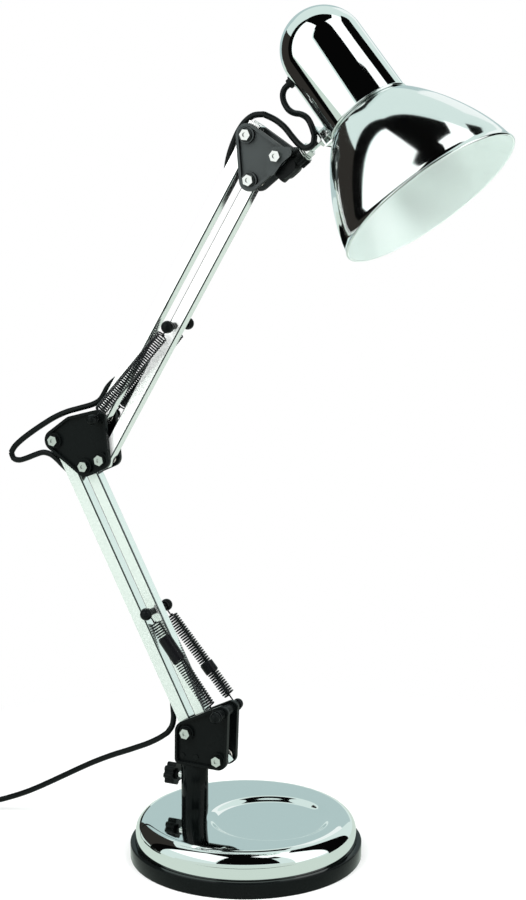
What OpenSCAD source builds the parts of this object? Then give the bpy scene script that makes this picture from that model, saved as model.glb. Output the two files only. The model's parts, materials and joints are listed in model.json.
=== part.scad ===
// Balanced-arm desk lamp: weighted round base, two sprung parallel arms and a tilting shade.
// Millimetres. +Z is up, +X points from the base towards the shade, and the arms lie in the
// plane Y = 0. The origin is the centre of the base's underside.

/* [Base] */
// Diameter of the black foot ring
base_d = 170; // [160:1:190]
// Height of the visible foot ring
ring_h = 11.5; // [9:0.5:14]
// Diameter of the pressed steel cover
cover_d = 162; // [150:1:164]
// Height of the cover's flat top
cover_top = 30.5; // [26:0.5:36]
// Radius of the cover's rounded shoulder
cover_round = 12; // [8:0.5:14]
// Sheet thickness of the cover
cover_wall = 1.2; // [0.8:0.1:1.6]
// Outer diameter of the pressed dish
dish_d = 92; // [80:1:100]
// Diameter of the dish's flat floor
dish_floor_d = 75; // [60:1:78]
// Depth of the dish
dish_depth = 3.2; // [1.5:0.1:4.5]
// Distance from the base's centre to the dish's centre
dish_x = 19; // [16:0.5:20]

/* [Post] */
// Distance from the base's centre back to the post
post_back = 42; // [40:0.5:44]
// Outer diameter of the post tube
post_d = 20; // [18:0.5:22]
// Wall of the post tube
post_wall = 2; // [1.5:0.1:2.5]
// Height of the post's top end
post_top = 63; // [61:0.5:68]
// Height of the locking screw's axis below the post's top end
screw_drop = 10.5; // [9:0.5:12]
// Diameter of the locking screw
screw_d = 5; // [4:0.5:6]
// Diameter of the locking screw's lobed knob
knob_d = 17; // [14:0.5:18]

/* [Arms] */
// Pivot distance of the lower arm
lower_len = 237; // [200:1:270]
// Pivot distance of the upper arm
upper_len = 236.5; // [200:1:270]
// Lean of the lower arm, back from upright
lower_lean = 27.2; // [25:0.1:29]
// Lean of the upper arm, forward from upright
upper_lean = 30.7; // [28:0.1:34]
// Outside width of the square bars
bar_w = 9.6; // [8:0.1:10]
// Sheet thickness of the bars
bar_wall = 1.2; // [0.8:0.1:1.5]
// Length of each bar past its pivot
bar_end = 5; // [4.5:0.1:5.3]
// Length of the upper channel past its top pivot
channel_top = 9; // [6:0.5:10]
// Clearance round each turning pin
running_gap = 0.05; // [0.02:0.01:0.1]

/* [Plates] */
// Clear space between a pair of plates
plate_gap = 12.6; // [12:0.1:14]
// Thickness of a plate
plate_t = 3.6; // [3:0.1:4.5]
// Depth of the recessed panel in a plate
panel_depth = 2.3; // [0.6:0.1:2.4]
// Width of the raised rim round the panel
rim_w = 2; // [1.5:0.1:3]

/* [Fasteners] */
// Diameter of the pivot bolts
bolt_d = 4; // [3.5:0.1:4.5]
// Width across the flats of bolt heads and nuts
bolt_af = 7; // [6.5:0.1:7.5]
// Height of bolt heads and nuts
bolt_head = 2.8; // [2:0.1:3.4]
// Outer diameter of the pivot bushes
bush_d = 6; // [5.5:0.1:6.4]
// Diameter of the spacer washers beside the bars
washer_d = 9.2; // [8.5:0.1:9.6]

/* [Springs] */
// Outer diameter of the springs
spring_d = 9.5; // [8:0.1:10]
// Diameter of the spring wire
wire_d = 1.1; // [0.8:0.1:1.3]
// Distance of the lower bar's spring pin from its pivot
lower_pin_at = 119; // [110:1:125]
// Distance of the upper bar's spring pin from its pivot
upper_pin_at = 117; // [110:1:125]

/* [Head] */
// Diameter of the shade's rim
shade_d = 132; // [120:1:145]
// Height of the shade from its rim to its neck
shade_h = 72.7; // [66:0.1:84]
// Sheet thickness of the shade and the cap
shade_wall = 1; // [0.8:0.1:1.4]
// Diameter of the cap
cap_d = 59.4; // [57:0.2:61]
// Height of the cap
cap_h = 85.3; // [76:0.1:90]
// Tilt of the shade's axis from straight down
head_tilt = 39.3; // [35:0.1:42]
// Turn of the shade about its rod, towards the viewer's side
head_turn = 4; // [0:0.5:10]
// Diameter of the rod that carries the head
rod_d = 6; // [5:0.1:6.4]

/* [Cable] */
// Diameter of the lead
cable_d = 4.4; // [4:0.1:5]

/* [Hidden] */

$fn = 64;
PLASTIC = [0.06, 0.07, 0.07];
STEEL = [0.8, 0.82, 0.82];
CHROME = [0.87, 0.9, 0.9];
IRON = [0.3, 0.3, 0.32];
WIRE = [0.12, 0.12, 0.13];
slack = 0.3;                             // gap between pieces that move past each other
base_r = base_d / 2;
cover_r = cover_d / 2;
pad_t = 1.5;
lip_w = 8;                               // width of the foot ring's inward foot
foot_t = 2.6;                            // height of that foot, on which the cover stands
weight_r = base_r - lip_w - 1.5;
weight_bottom = pad_t;
weight_top = cover_top - cover_wall - dish_depth - 1.2;
post_x = -post_back;
post_r = post_d / 2;
spigot_r = post_r - post_wall - running_gap;
post_bottom = 9;
insert_h = 14;
screw_z = post_top - screw_drop;

// Pivots in the arm plane, as [x, z]
function dir(a) = [sin(a), cos(a)];
function right_of(a) = [cos(a), -sin(a)];
A1 = [post_x - 2, post_top + 25.5];
A2 = A1 + [25.5, -17.7];
A4 = A1 + [28.5, 18];
lower_dir = dir(-lower_lean);
lower_right = right_of(-lower_lean);
upper_dir = dir(upper_lean);
upper_right = right_of(upper_lean);
B1 = A1 + lower_len * lower_dir;
B2 = A2 + lower_len * lower_dir;
B3 = B1 + [39.2, -12.1];
B4 = B3 + [-2.1, 30.8];
C1 = B4 + upper_len * upper_dir;
C2 = B3 + upper_len * upper_dir;
C3 = C1 + [23.4, -14.5];
P2 = A2 + lower_pin_at * lower_dir;
P3 = B3 + upper_pin_at * upper_dir;
head_at = C3 + [57.3, 35.4];             // where the rod's axis meets the shade's axis

gap_h = plate_gap / 2;
plate_out = gap_h + plate_t;
bar_h = bar_w / 2;
bar_round = 1.2;                         // radius of the bars' long edges
bolt_r = bolt_d / 2;
bush_r = bush_d / 2;
pin_r = 3;
washer_t = gap_h - bar_h - 0.25;
bar_pin_r = 2.5;
hook_r = wire_d / 2;

// ---------- shared shapes ----------

// A flat shape of the arm plane, drawn as [x, z] and standing from y0 to y1
module slab(y0, y1) translate([0, y1, 0]) rotate([90, 0, 0]) linear_extrude(y1 - y0) children();

// A round bar along Y at point p of the arm plane
module pin_y(p, r, y0, y1) translate([p.x, y1, p.y]) rotate([90, 0, 0]) cylinder(r = r, h = y1 - y0);

// A hexagon bar along Y, flats across af
module hex_y(p, af, y0, y1, turn = 0)
    translate([p.x, y1, p.y]) rotate([90, turn, 0]) cylinder(d = af / cos(30), h = y1 - y0, $fn = 6);

function unit(v) = v / norm(v);

// Tangent points of two circles [x, z, r] that stand counter-clockwise on one outline
function tangents(a, b) =
    let (d = [b.x - a.x, b.y - a.y], way = atan2(d.y, d.x) - acos((a.z - b.z) / norm(d)),
         n = [cos(way), sin(way)])
    [[a.x, a.y] + a.z * n, [b.x, b.y] + b.z * n];

// The tight outline round circles [x, z, r], listed counter-clockwise
module outline(discs) {
    polygon([for (i = [0 : len(discs) - 1]) each tangents(discs[i], discs[(i + 1) % len(discs)])]);
    for (c = discs) translate([c.x, c.y]) circle(c.z);
}

groove_w = 0.8;                          // width and depth of the groove round a bolt's head
groove_t = 0.9;

// One plate: outline, recessed panel on its outer side, bosses and holes.
// side is -1 for the front plate and 1 for the rear one
module plate(discs, bosses, holes, side) {
    inner = side > 0 ? gap_h : -plate_out;
    outer = side > 0 ? plate_out : -gap_h;
    panel0 = side > 0 ? plate_out - panel_depth : -plate_out - 1;
    panel1 = side > 0 ? plate_out + 1 : -plate_out + panel_depth;
    difference() {
        slab(inner, outer) outline(discs);
        difference() {
            slab(panel0, panel1) outline([for (c = discs) [c.x, c.y, c.z - rim_w]]);
            for (b = bosses) pin_y([b.x, b.y], b.z, panel0 - 1, panel1 + 1);
        }
        for (h = holes) pin_y([h.x, h.y], h.z + running_gap, -plate_out - 2, plate_out + 2);
        for (h = holes) if (h.z == bolt_r) head_groove([h.x, h.y], side);
    }
}

// A round groove in a boss, just outside the corners of a bolt's head or nut
module head_groove(p, side) {
    r = bolt_af / 2 / cos(30) + 0.1;
    y = side * plate_out;
    difference() {
        pin_y(p, r + groove_w, y - groove_t, y + groove_t);
        pin_y(p, r, y - groove_t - 1, y + groove_t + 1);
    }
}

// A pivot bolt with its hexagon head in front and its nut behind
module pivot_bolt(p, out = plate_out, turn = 0) {
    difference() {
        union() {
            pin_y(p, bolt_r, -out, out + bolt_head + 1.2);
            hex_y(p, bolt_af, -out - bolt_head, -out, turn);
        }
        pin_y(p, bolt_r * 0.8, -out - bolt_head - 1, -out - bolt_head + 1);
    }
    difference() {
        hex_y(p, bolt_af, out, out + bolt_head, turn + 11);
        pin_y(p, bolt_r + running_gap, out - 1, out + bolt_head + 1);
    }
}

// A bush between the plates, and a spacer washer on each side of the bar
module bush(p, bush_too = true) {
    if (bush_too) difference() {
        pin_y(p, bush_r, -gap_h, gap_h);
        pin_y(p, bolt_r + running_gap, -gap_h - 1, gap_h + 1);
    }
    for (s = [-1, 1]) difference() {
        pin_y(p, washer_d / 2, s > 0 ? gap_h - washer_t : -gap_h, s > 0 ? gap_h : -gap_h + washer_t);
        pin_y(p, bush_r + running_gap, -gap_h - 1, gap_h + 1);
    }
}

// Place children drawn along +X at point p, with +X along the bar that leans by angle a.
// Local +Z points to the bar's left side
module along(p, a) translate([p.x, 0, p.y]) rotate([0, a - 90, 0]) children();

// A solid square bar along +X with rounded long edges
module rounded_bar(x0, x1) translate([x0, 0, 0]) rotate([90, 0, 90]) linear_extrude(x1 - x0) {
    square([bar_w, bar_w - 2 * bar_round], center = true);
    square([bar_w - 2 * bar_round, bar_w], center = true);
    for (y = [-1, 1], z = [-1, 1])
        translate([y * (bar_h - bar_round), z * (bar_h - bar_round)]) circle(bar_round, $fn = 32);
}

// A square tube with closed corners and a cross hole at each pivot and spring pin
module square_bar(p, a, len, pin_at) along(p, a) difference() {
    rounded_bar(-bar_end, len + bar_end);
    translate([-bar_end - 1, -bar_h + bar_wall, -bar_h + bar_wall])
        cube([len + 2 * bar_end + 2, bar_w - 2 * bar_wall, bar_w - 2 * bar_wall]);
    for (x = [0, len]) translate([x, bar_w, 0]) rotate([90, 0, 0])
        cylinder(r = bush_r + running_gap, h = 2 * bar_w);
    translate([pin_at, bar_w, 0]) rotate([90, 0, 0]) cylinder(r = bar_pin_r + running_gap, h = 2 * bar_w);
}

// A channel that is open on its left side, with a cross hole at each pivot
module channel_bar(p, a, len, past) along(p, a) difference() {
    union() {
        rounded_bar(-bar_end, len + past);
        translate([-bar_end, -bar_h, 0]) cube([len + bar_end + past, bar_w, bar_h]);
    }
    translate([-bar_end - 1, -bar_h + bar_wall, -bar_h + bar_wall])
        cube([len + bar_end + past + 2, bar_w - 2 * bar_wall, bar_w]);
    for (x = [0, len]) translate([x, bar_w, 0]) rotate([90, 0, 0])
        cylinder(r = bush_r + running_gap, h = 2 * bar_w);
}

// A spring pin along Y: shaft, a groove for each spring's hook and round ends
module spring_pin(p, r, groove_y, groove_r, end_y, end_r) {
    pin_y(p, groove_r, -end_y, end_y);
    pin_y(p, r, -groove_y + 1.1, groove_y - 1.1);
    for (s = [-1, 1]) intersection() {
        translate([p.x, s * (end_y - end_r * 0.35), p.y]) sphere(r = end_r);
        pin_y(p, end_r, s > 0 ? groove_y + 1.1 : -end_y - 3, s > 0 ? end_y + 3 : -groove_y - 1.1);
    }
}

// A tension spring from pin p to pin q: its coil's outer shape and a hook ring round each pin
module spring(p, py, q, qy, p_r, q_r, coil_start, coil_end) {
    v = [q.x - p.x, qy - py, q.y - p.y];
    reach = norm(v);
    heading = atan2(v.z, v.x);
    rise = asin(v.y / reach);
    translate([p.x, py, p.y]) rotate([0, -heading, 0]) rotate([0, 0, rise]) {
        hook_ring(p_r + slack + hook_r);
        translate([reach, 0, 0]) hook_ring(q_r + slack + hook_r);
        link(p_r + slack + hook_r, coil_start + wire_d);
        link(reach - coil_end - wire_d, reach - q_r - slack - hook_r);
        translate([coil_start, 0, 0]) rotate([0, 90, 0])
            cylinder(d = spring_d, h = reach - coil_end - coil_start);
    }
}
module hook_ring(r) rotate([90, 0, 0]) rotate_extrude() translate([r, 0]) circle(hook_r);
module link(x0, x1) translate([x0, 0, 0]) rotate([0, 90, 0]) cylinder(r = hook_r, h = x1 - x0);

// A sleeve round a spring, over the share s0 to s1 of the way from p to q
module sleeve(p, py, q, qy, s0, s1) {
    v = [q.x - p.x, qy - py, q.y - p.y];
    reach = norm(v);
    translate([p.x, py, p.y]) rotate([0, -atan2(v.z, v.x), 0]) rotate([0, 0, asin(v.y / reach)])
        translate([s0 * reach, 0, 0]) rotate([0, 90, 0]) difference() {
            cylinder(d = spring_d + 1.6, h = (s1 - s0) * reach);
            translate([0, 0, -1]) cylinder(d = spring_d + 0.2, h = (s1 - s0) * reach + 2);
        }
}

// A lobed clamping knob along +Z, centred on its axis
module lobed_knob(d, h, bore) difference() {
    union() {
        cylinder(r = d * 0.41, h = h);
        for (i = [0 : 7]) rotate(i * 45) translate([d * 0.37, 0, 0]) cylinder(r = d * 0.13, h = h, $fn = 24);
    }
    translate([0, 0, -1]) cylinder(r = bore, h = h + 2);
}

// ---------- swept cable ----------
sides = 8;
function tangent_at(pts, i) = unit(pts[min(i + 1, len(pts) - 1)] - pts[max(i - 1, 0)]);
function carried(ts, n, i = 0) = i == len(ts) ? [] :
    let (m = unit(n - (n * ts[i]) * ts[i])) concat([m], carried(ts, m, i + 1));
module cable(pts, first_normal, d = cable_d) {
    n = len(pts);
    ts = [for (i = [0 : n - 1]) tangent_at(pts, i)];
    ns = carried(ts, first_normal);
    ring = [for (i = [0 : n - 1]) for (k = [0 : sides - 1])
        let (a = 360 * k / sides, b = cross(ts[i], ns[i]))
        pts[i] + d / 2 * (cos(a) * ns[i] + sin(a) * b)];
    faces = concat(
        [[for (k = [0 : sides - 1]) k]],
        [for (i = [0 : n - 2]) for (k = [0 : sides - 1])
            let (k2 = (k + 1) % sides)
            [i * sides + k, (i + 1) * sides + k, (i + 1) * sides + k2, i * sides + k2]],
        [[for (k = [0 : sides - 1]) (n - 1) * sides + sides - 1 - k]]);
    polyhedron(points = ring, faces = faces, convexity = 6);
}
function low_at(s, o) = A1 + s * lower_dir + o * lower_right;
function up_at(s, o) = B4 + s * upper_dir + o * upper_right;
function in_plane(p, y = 0) = [p.x, y, p.y];

// ---------- base ----------
module base_ring() color(PLASTIC) rotate_extrude($fn = 128) {
    difference() {
        union() {
            translate([base_r - lip_w, 0]) square([lip_w, foot_t]);
            translate([cover_r + 0.15, 0]) square([base_r - cover_r - 1.15, ring_h]);
            translate([cover_r + 0.15, 0]) square([base_r - cover_r - 0.15, ring_h - 1]);
            translate([base_r - 1, ring_h - 1]) circle(1, $fn = 32);
        }
        translate([base_r - lip_w - 1, -2]) square([2 * lip_w, 2]);
    }
}

// The cover's section, drawn in by a distance from its outer skin
module cover_half(inset) {
    r = cover_r - inset;
    top = cover_top - inset;
    bend = cover_round - inset;
    translate([0, foot_t - inset]) square([r - bend, top - foot_t + inset]);
    translate([0, foot_t - inset]) square([r, top - bend - foot_t + inset]);
    translate([r - bend, top - bend]) circle(bend, $fn = 64);
}

// The dish as a solid cone, lowered by a distance
module dish_cone(drop, grow) {
    slope = (dish_d - dish_floor_d) / 2 / dish_depth;
    translate([dish_x, 0, cover_top - dish_depth - drop])
        cylinder(r1 = dish_floor_d / 2 + grow, r2 = dish_floor_d / 2 + grow + slope * (dish_depth + 2),
                 h = dish_depth + 2, $fn = 96);
}
module base_cover() color(CHROME) difference() {
    rotate_extrude($fn = 128) cover_half(0);
    dish_cone(0, 0);
    difference() {
        rotate_extrude($fn = 128) cover_half(cover_wall);
        dish_cone(cover_wall, 0.2);
    }
    translate([post_x, 0, 0]) cylinder(r = post_r + 0.1, h = cover_top + 1);
}
module base_weight() color(IRON) difference() {
    translate([0, 0, weight_bottom]) cylinder(r = weight_r, h = weight_top - weight_bottom, $fn = 96);
    translate([post_x, 0, post_bottom]) cylinder(r = post_r + 0.1, h = weight_top);
    translate([post_x, 0, 0]) cylinder(r = 4.3, h = weight_top);
    translate([post_x, 0, 0]) cylinder(r = 8.5, h = post_bottom - 3);
}
module base_pad() color("dimgray") cylinder(r = base_r - lip_w - 0.5, h = pad_t, $fn = 96);

// ---------- post ----------
module post_tube() color(PLASTIC) difference() {
    translate([post_x, 0, post_bottom]) cylinder(r = post_r, h = post_top - post_bottom);
    translate([post_x, 0, post_bottom - 1]) cylinder(r = post_r - post_wall, h = post_top);
    translate([post_x, 0, screw_z]) rotate([0, -90, 0])
        cylinder(d = screw_d + 2 * running_gap, h = post_r + 1);
}
module post_insert() color(STEEL) difference() {
    translate([post_x, 0, post_bottom]) cylinder(r = post_r - post_wall - 0.02, h = insert_h);
    translate([post_x, 0, post_bottom - 1]) cylinder(r = 4, h = insert_h + 2);
}
module post_bolt() color(STEEL) {
    head_h = 4;
    translate([post_x, 0, post_bottom - 3 - head_h]) cylinder(d = 13 / cos(30), h = head_h, $fn = 6);
    translate([post_x, 0, post_bottom - 3.5]) cylinder(r = 3.96, h = insert_h + 1);
}
module locking_screw() color(STEEL) translate([post_x, 0, screw_z]) rotate([0, -90, 0])
    translate([0, 0, spigot_r + slack]) cylinder(d = screw_d, h = knob_gap + 5);
knob_gap = post_r + 4.5 - spigot_r - slack;
module locking_knob() color(PLASTIC) translate([post_x, 0, screw_z]) rotate([0, -90, 0])
    translate([0, 0, post_r + 4.5]) {
        lobed_knob(knob_d, 7.5, screw_d / 2 + running_gap);
        difference() {
            translate([0, 0, -1.6]) cylinder(r = knob_d * 0.24, h = 1.6);
            translate([0, 0, -2]) cylinder(r = screw_d / 2 + running_gap, h = 3);
        }
    }

// ---------- turret ----------
peg_r = 2;
peg_in = 2;
pegs = [[post_x - 6, post_top + 7.5], [post_x + 5, post_top + 7.5]];
collar_h = 0.9;
neck_of_spigot = 4.5;                    // radius of the spigot's end inside the block
neck_in = 6;
module turret_spigot() color(STEEL) {
    translate([post_x, 0, post_top - 29]) cylinder(r = spigot_r, h = 29 - running_gap);
    translate([post_x, 0, post_top - 29]) cylinder(r = neck_of_spigot, h = 29 + neck_in - 0.1);
}
module turret_block() color(PLASTIC) difference() {
    turret_solid();
    translate([post_x, 0, post_top - 1])
        cylinder(r = neck_of_spigot + running_gap, h = 1 + neck_in, $fn = 48);
}
module turret_solid() {
    translate([post_x, 0, post_top]) cylinder(r = post_r, h = collar_h);
    slab(-gap_h, gap_h) polygon([[post_x - 10, post_top + collar_h], [post_x + 9, post_top + collar_h],
        [post_x + 9, post_top + 11], [post_x + 6, post_top + 14], [post_x - 10, post_top + 14]]);
    for (p = pegs) pin_y(p, peg_r, -gap_h - peg_in, gap_h + peg_in);
}
bracket_discs = [[post_x - 8.2, post_top + 4.7, 3.4],
                 [A2.x, A2.y, 7.2], [A4.x, A4.y, 5.6], [A1.x, A1.y, 9.3]];
module bracket_plate(side) difference() {
    plate(bracket_discs, [for (p = [A1, A2, A4]) [p.x, p.y, 5.6]],
          [[A1.x, A1.y, bolt_r], [A2.x, A2.y, bolt_r], [A4.x, A4.y, bracket_pin_r]], side);
    for (p = pegs) pin_y(p, peg_r + running_gap, -gap_h - peg_in - 0.1, gap_h + peg_in + 0.1);
}
bracket_pin_r = 3.9;
module bracket_plate_front() color(PLASTIC) bracket_plate(-1);
module bracket_plate_rear() color(PLASTIC) bracket_plate(1);
module bracket_bolts() color(STEEL) { pivot_bolt(A1, plate_out, 7); pivot_bolt(A2, plate_out, 24); }
module bracket_bushes() color("ivory") { bush(A1); bush(A2); }
bracket_hook_y = 16.5;
module bracket_spring_pin() color(PLASTIC) spring_pin(A4, bracket_pin_r, bracket_hook_y, 3.1, 20.5, 4);

// ---------- lower arm ----------
bar_hook_y = 12.6;
run_from = 50;                           // the lead enters a channel this far from its pivot
run_off = bar_h - bar_wall - cable_d / 2 - 0.1;      // the lead lies on the channel's web
module cable_run(p, a, s0, s1) along(p, a) translate([s0, 0, -run_off]) rotate([0, 90, 0])
    cylinder(d = cable_d, h = s1 - s0, $fn = 32);
module lower_channel_bar() color(CHROME) channel_bar(A1, -lower_lean, lower_len, bar_end);
module lower_cable_run() color(PLASTIC) cable_run(A1, -lower_lean, run_from, lower_len - run_from);
module lower_square_bar() color(CHROME) square_bar(A2, -lower_lean, lower_len, lower_pin_at);
module bar_pin(p) spring_pin(p, bar_pin_r, bar_hook_y, bar_pin_r, 17.6, 4.5);
module lower_spring_pin() color(PLASTIC) bar_pin(P2);
module lower_spring(side) spring(P2, side * bar_hook_y, A4, side * bracket_hook_y, 2.5, 3.1, 8, 8.5);
module lower_spring_front() color(WIRE) lower_spring(-1);
module lower_spring_rear() color(WIRE) lower_spring(1);
module lower_spring_sleeves() color(PLASTIC) {
    sleeve(P2, -bar_hook_y, A4, -bracket_hook_y, 0.24, 0.46);
    sleeve(P2, bar_hook_y, A4, bracket_hook_y, 0.58, 0.67);
}

// ---------- elbow ----------
elbow_discs = [[B2.x, B2.y, 7.8], [B3.x, B3.y, 7.2], [B4.x, B4.y, 6.3], [B1.x + 15.8, B1.y + 10.5, 8.8],
               [B1.x, B1.y, 8]];
module elbow_plate(side) plate(elbow_discs,
    [[B1.x, B1.y, 5.8], [B2.x, B2.y, 5.8], [B3.x, B3.y, 5.8], [B4.x, B4.y, 4.6]],
    [[B1.x, B1.y, bolt_r], [B2.x, B2.y, bolt_r], [B3.x, B3.y, bolt_r], [B4.x, B4.y, pin_r]], side);
module elbow_plate_front() color(PLASTIC) elbow_plate(-1);
module elbow_plate_rear() color(PLASTIC) elbow_plate(1);
module elbow_bolts() color(STEEL) {
    pivot_bolt(B1, plate_out, 12);
    pivot_bolt(B2, plate_out, 3);
    pivot_bolt(B3, plate_out, 19);
}
module elbow_bushes() color("ivory") { bush(B1); bush(B2); bush(B3); bush(B4, false); }
elbow_hook_y = 15.5;
module elbow_spring_pin() color(PLASTIC) spring_pin(B4, pin_r, elbow_hook_y, 2.4, 19, 3.8);

// ---------- upper arm ----------
module upper_channel_bar() color(CHROME) channel_bar(B4, upper_lean, upper_len, channel_top);
module upper_cable_run() color(PLASTIC) cable_run(B4, upper_lean, run_from, upper_len - run_from);
module upper_square_bar() color(CHROME) square_bar(B3, upper_lean, upper_len, upper_pin_at);
module upper_spring_pin() color(PLASTIC) bar_pin(P3);
module upper_spring(side) spring(P3, side * bar_hook_y, B4, side * elbow_hook_y, 2.5, 2.4, 8, 8);
module upper_spring_front() color(WIRE) upper_spring(-1);
module upper_spring_rear() color(WIRE) upper_spring(1);

// ---------- yoke ----------
yoke_discs = [[C2.x, C2.y, 7.6], [C3.x, C3.y, 7.2], [C1.x, C1.y, 8]];
module yoke_plate(side) plate(yoke_discs, [[C1.x, C1.y, 5.8], [C2.x, C2.y, 5.8], [C3.x, C3.y, 7]],
    [[C1.x, C1.y, bolt_r], [C2.x, C2.y, bolt_r], [C3.x, C3.y, bolt_r]], side);
module yoke_plate_front() color(PLASTIC) yoke_plate(-1);
module yoke_plate_rear() color(PLASTIC) yoke_plate(1);
module yoke_bolts() color(STEEL) { pivot_bolt(C1, plate_out, 5); pivot_bolt(C2, plate_out, 21); }
module yoke_bushes() color("ivory") { bush(C1); bush(C2); }

// ---------- tilt block, rod and knob ----------
// The head's own frame: +Z up the shade's axis, +X away from the yoke, X axis along the rod
module head_frame() translate([head_at.x, 0, head_at.y]) rotate([0, -head_tilt, 0]) children();
rod_way = [cos(head_tilt), sin(head_tilt)];
axis_way = [-sin(head_tilt), cos(head_tilt)];
C3_local = [(C3 - head_at) * rod_way, (C3 - head_at) * axis_way];
block_y = gap_h - 0.15;
barrel0 = C3_local.x - 10.2;
barrel1 = C3_local.x + 6.4;
knob0 = barrel1 + 0.3;
rod_knob_h = 6.5;
rod_knob_d = 14.4;
tab_x = -(cap_d / 2 + 5.2);               // outer face of the head bracket's tab
tab_t = 1.5;
cheek_t = 2.2;
cheek_y = plate_out + 0.15;
module rod_piece(x0, x1, r) translate([x0, 0, 0]) rotate([0, 90, 0]) cylinder(r = r, h = x1 - x0);
module rod_hex(x0, x1, af) translate([x0, 0, 0]) rotate([0, 90, 0])
    cylinder(d = af / cos(30), h = x1 - x0, $fn = 6);
module tilt_block() color(PLASTIC) head_frame() difference() {
    union() {
        slab(-block_y, block_y) outline([[barrel0 + 5.5, 0, 5.5], [barrel1 - 5.5, 0, 5.5],
                                         [C3_local.x, C3_local.y, 6]]);
        rod_piece(barrel0, barrel1, 5.9);
    }
    pin_y(C3_local, bolt_r + running_gap, -gap_h, gap_h);
    rod_piece(barrel0 + 1, barrel1 + 1, rod_d / 2 + running_gap);
}
cheek_discs = [[C3_local.x + 8, C3_local.y - 3, 3.6], [C3_local.x, C3_local.y, 6.4],
               [C3_local.x - 9, C3_local.y - 5, 3.6]];
module cheek() {
    outline([cheek_discs[1], cheek_discs[2]]);
    outline([cheek_discs[1], cheek_discs[0]]);
}
module tilt_cheeks() color(PLASTIC) head_frame() for (s = [-1, 1]) difference() {
    slab(s > 0 ? cheek_y : -cheek_y - cheek_t, s > 0 ? cheek_y + cheek_t : -cheek_y) cheek();
    pin_y(C3_local, bolt_r + running_gap, -cheek_y - cheek_t - 1, cheek_y + cheek_t + 1);
}
module tilt_bolt() color(STEEL) pivot_bolt(C3, cheek_y + cheek_t, 9);
module head_rod() color(CHROME) head_frame() rod_piece(barrel0 + 1, -cap_d / 2 - 0.6, rod_d / 2);
module rod_washers() color(STEEL) head_frame() difference() {
    union() {
        rod_piece(knob0 + rod_knob_h + 0.05, knob0 + rod_knob_h + 1.25, 6);
        rod_piece(knob0 + rod_knob_h + 1.35, knob0 + rod_knob_h + 2.55, 5.2);
        rod_hex(knob0 + rod_knob_h + 2.65, knob0 + rod_knob_h + 6, 9);
    }
    rod_piece(knob0, tab_x, rod_d / 2 + running_gap);
}
module rod_knob() color(PLASTIC) head_frame() translate([knob0, 0, 0]) rotate([0, 90, 0])
    lobed_knob(rod_knob_d, rod_knob_h, rod_d / 2 + running_gap);
module rod_nuts() color(STEEL) head_frame() difference() {
    union() {
        rod_hex(tab_x - 4.7, tab_x - 1.3, 9);
        rod_piece(tab_x - 1.25, tab_x - 0.05, 6);
        rod_hex(tab_x + tab_t + 0.05, tab_x + tab_t + 2.75, 9);
    }
    rod_piece(tab_x - 6, tab_x + 8, rod_d / 2 + running_gap);
}

// ---------- head ----------
module head() head_frame() rotate([-head_turn, 0, 0]) children();
rod_above_neck = 9.8;                     // the rod's axis above the shade's neck
cap_r = cap_d / 2;
neck_r = 28.6;
neck_z = -rod_above_neck;
rim_z = neck_z - shade_h;
holder_r = 20;
bracket_t = 1.5;

// The shade's outer radius at share u of its height, from rim to neck
function shade_r(u) = neck_r + (shade_d / 2 - neck_r) * pow(1 - pow(u, 1.5), 0.85);
shade_steps = 20;
module shade_section(inset) polygon(concat(
    [[0, rim_z - (inset > 0 ? 1 : 0)]],
    inset > 0 ? [[shade_r(0) - inset, rim_z - 1]] : [],
    [for (i = [0 : shade_steps]) let (u = i / shade_steps)
        [shade_r(u) - inset, rim_z + u * shade_h - (i == shade_steps ? inset : 0)]],
    [[0, neck_z - inset]]));
module shade() color(CHROME) head() rotate_extrude($fn = 128) {
    difference() {
        shade_section(0);
        shade_section(shade_wall);
        translate([0, neck_z - 5]) square([holder_r + 0.4, 10]);
    }
    translate([shade_d / 2, rim_z + 0.5]) circle(0.9, $fn = 24);
}
module cap_half(inset) {
    r = cap_r - inset;
    top = neck_z + cap_h;
    translate([0, neck_z - inset]) square([r, cap_h - cap_r + inset]);
    intersection() {
        translate([0, top - cap_r]) circle(r, $fn = 96);
        translate([0, top - cap_r]) square([cap_r, cap_r]);
    }
}
gland_z = neck_z + 54.3;
gland_r = 3.6;
module cap() color(CHROME) head() difference() {
    rotate_extrude($fn = 96) difference() {
        union() {
            cap_half(0);
            translate([cap_r - 0.2, neck_z + 0.8]) circle(0.8, $fn = 24);
        }
        cap_half(shade_wall);
        translate([0, neck_z - 3]) square([cap_d, 3.001]);
    }
    translate([-cap_r - 3, -leg_out - 0.4, neck_z - 1]) cube([8, 2 * leg_out + 0.8, bracket_t + 1.4]);
    translate([0, 0, gland_z]) rotate([0, -90, 0]) cylinder(r = gland_r, h = cap_r + 2, $fn = 48);
}
leg_in = 5.8;
leg_out = 9.6;
module head_bracket() color(CHROME) head() {
    difference() {
        union() {
            translate([0, 0, neck_z]) cylinder(r = cap_r - shade_wall - 0.3, h = bracket_t);
            for (s = [-1, 1]) translate([tab_x, s > 0 ? leg_in : -leg_out, neck_z])
                cube([20, leg_out - leg_in, bracket_t]);
        }
        translate([0, 0, neck_z - 1]) cylinder(r = holder_r + 0.2, h = 4);
    }
    difference() {
        intersection() {
            translate([tab_x, -leg_out, neck_z]) cube([tab_t, 2 * leg_out, 7 - neck_z]);
            union() {
                rod_piece(tab_x - 1, tab_x + tab_t + 1, 10.6);
                translate([tab_x - 1, -leg_out, neck_z - 1]) cube([tab_t + 2, 2 * leg_out, 1 - neck_z]);
            }
        }
        rod_piece(tab_x - 1, tab_x + tab_t + 1, rod_d / 2 + running_gap);
    }
}
shoulder_z = neck_z + bracket_t;
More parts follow.
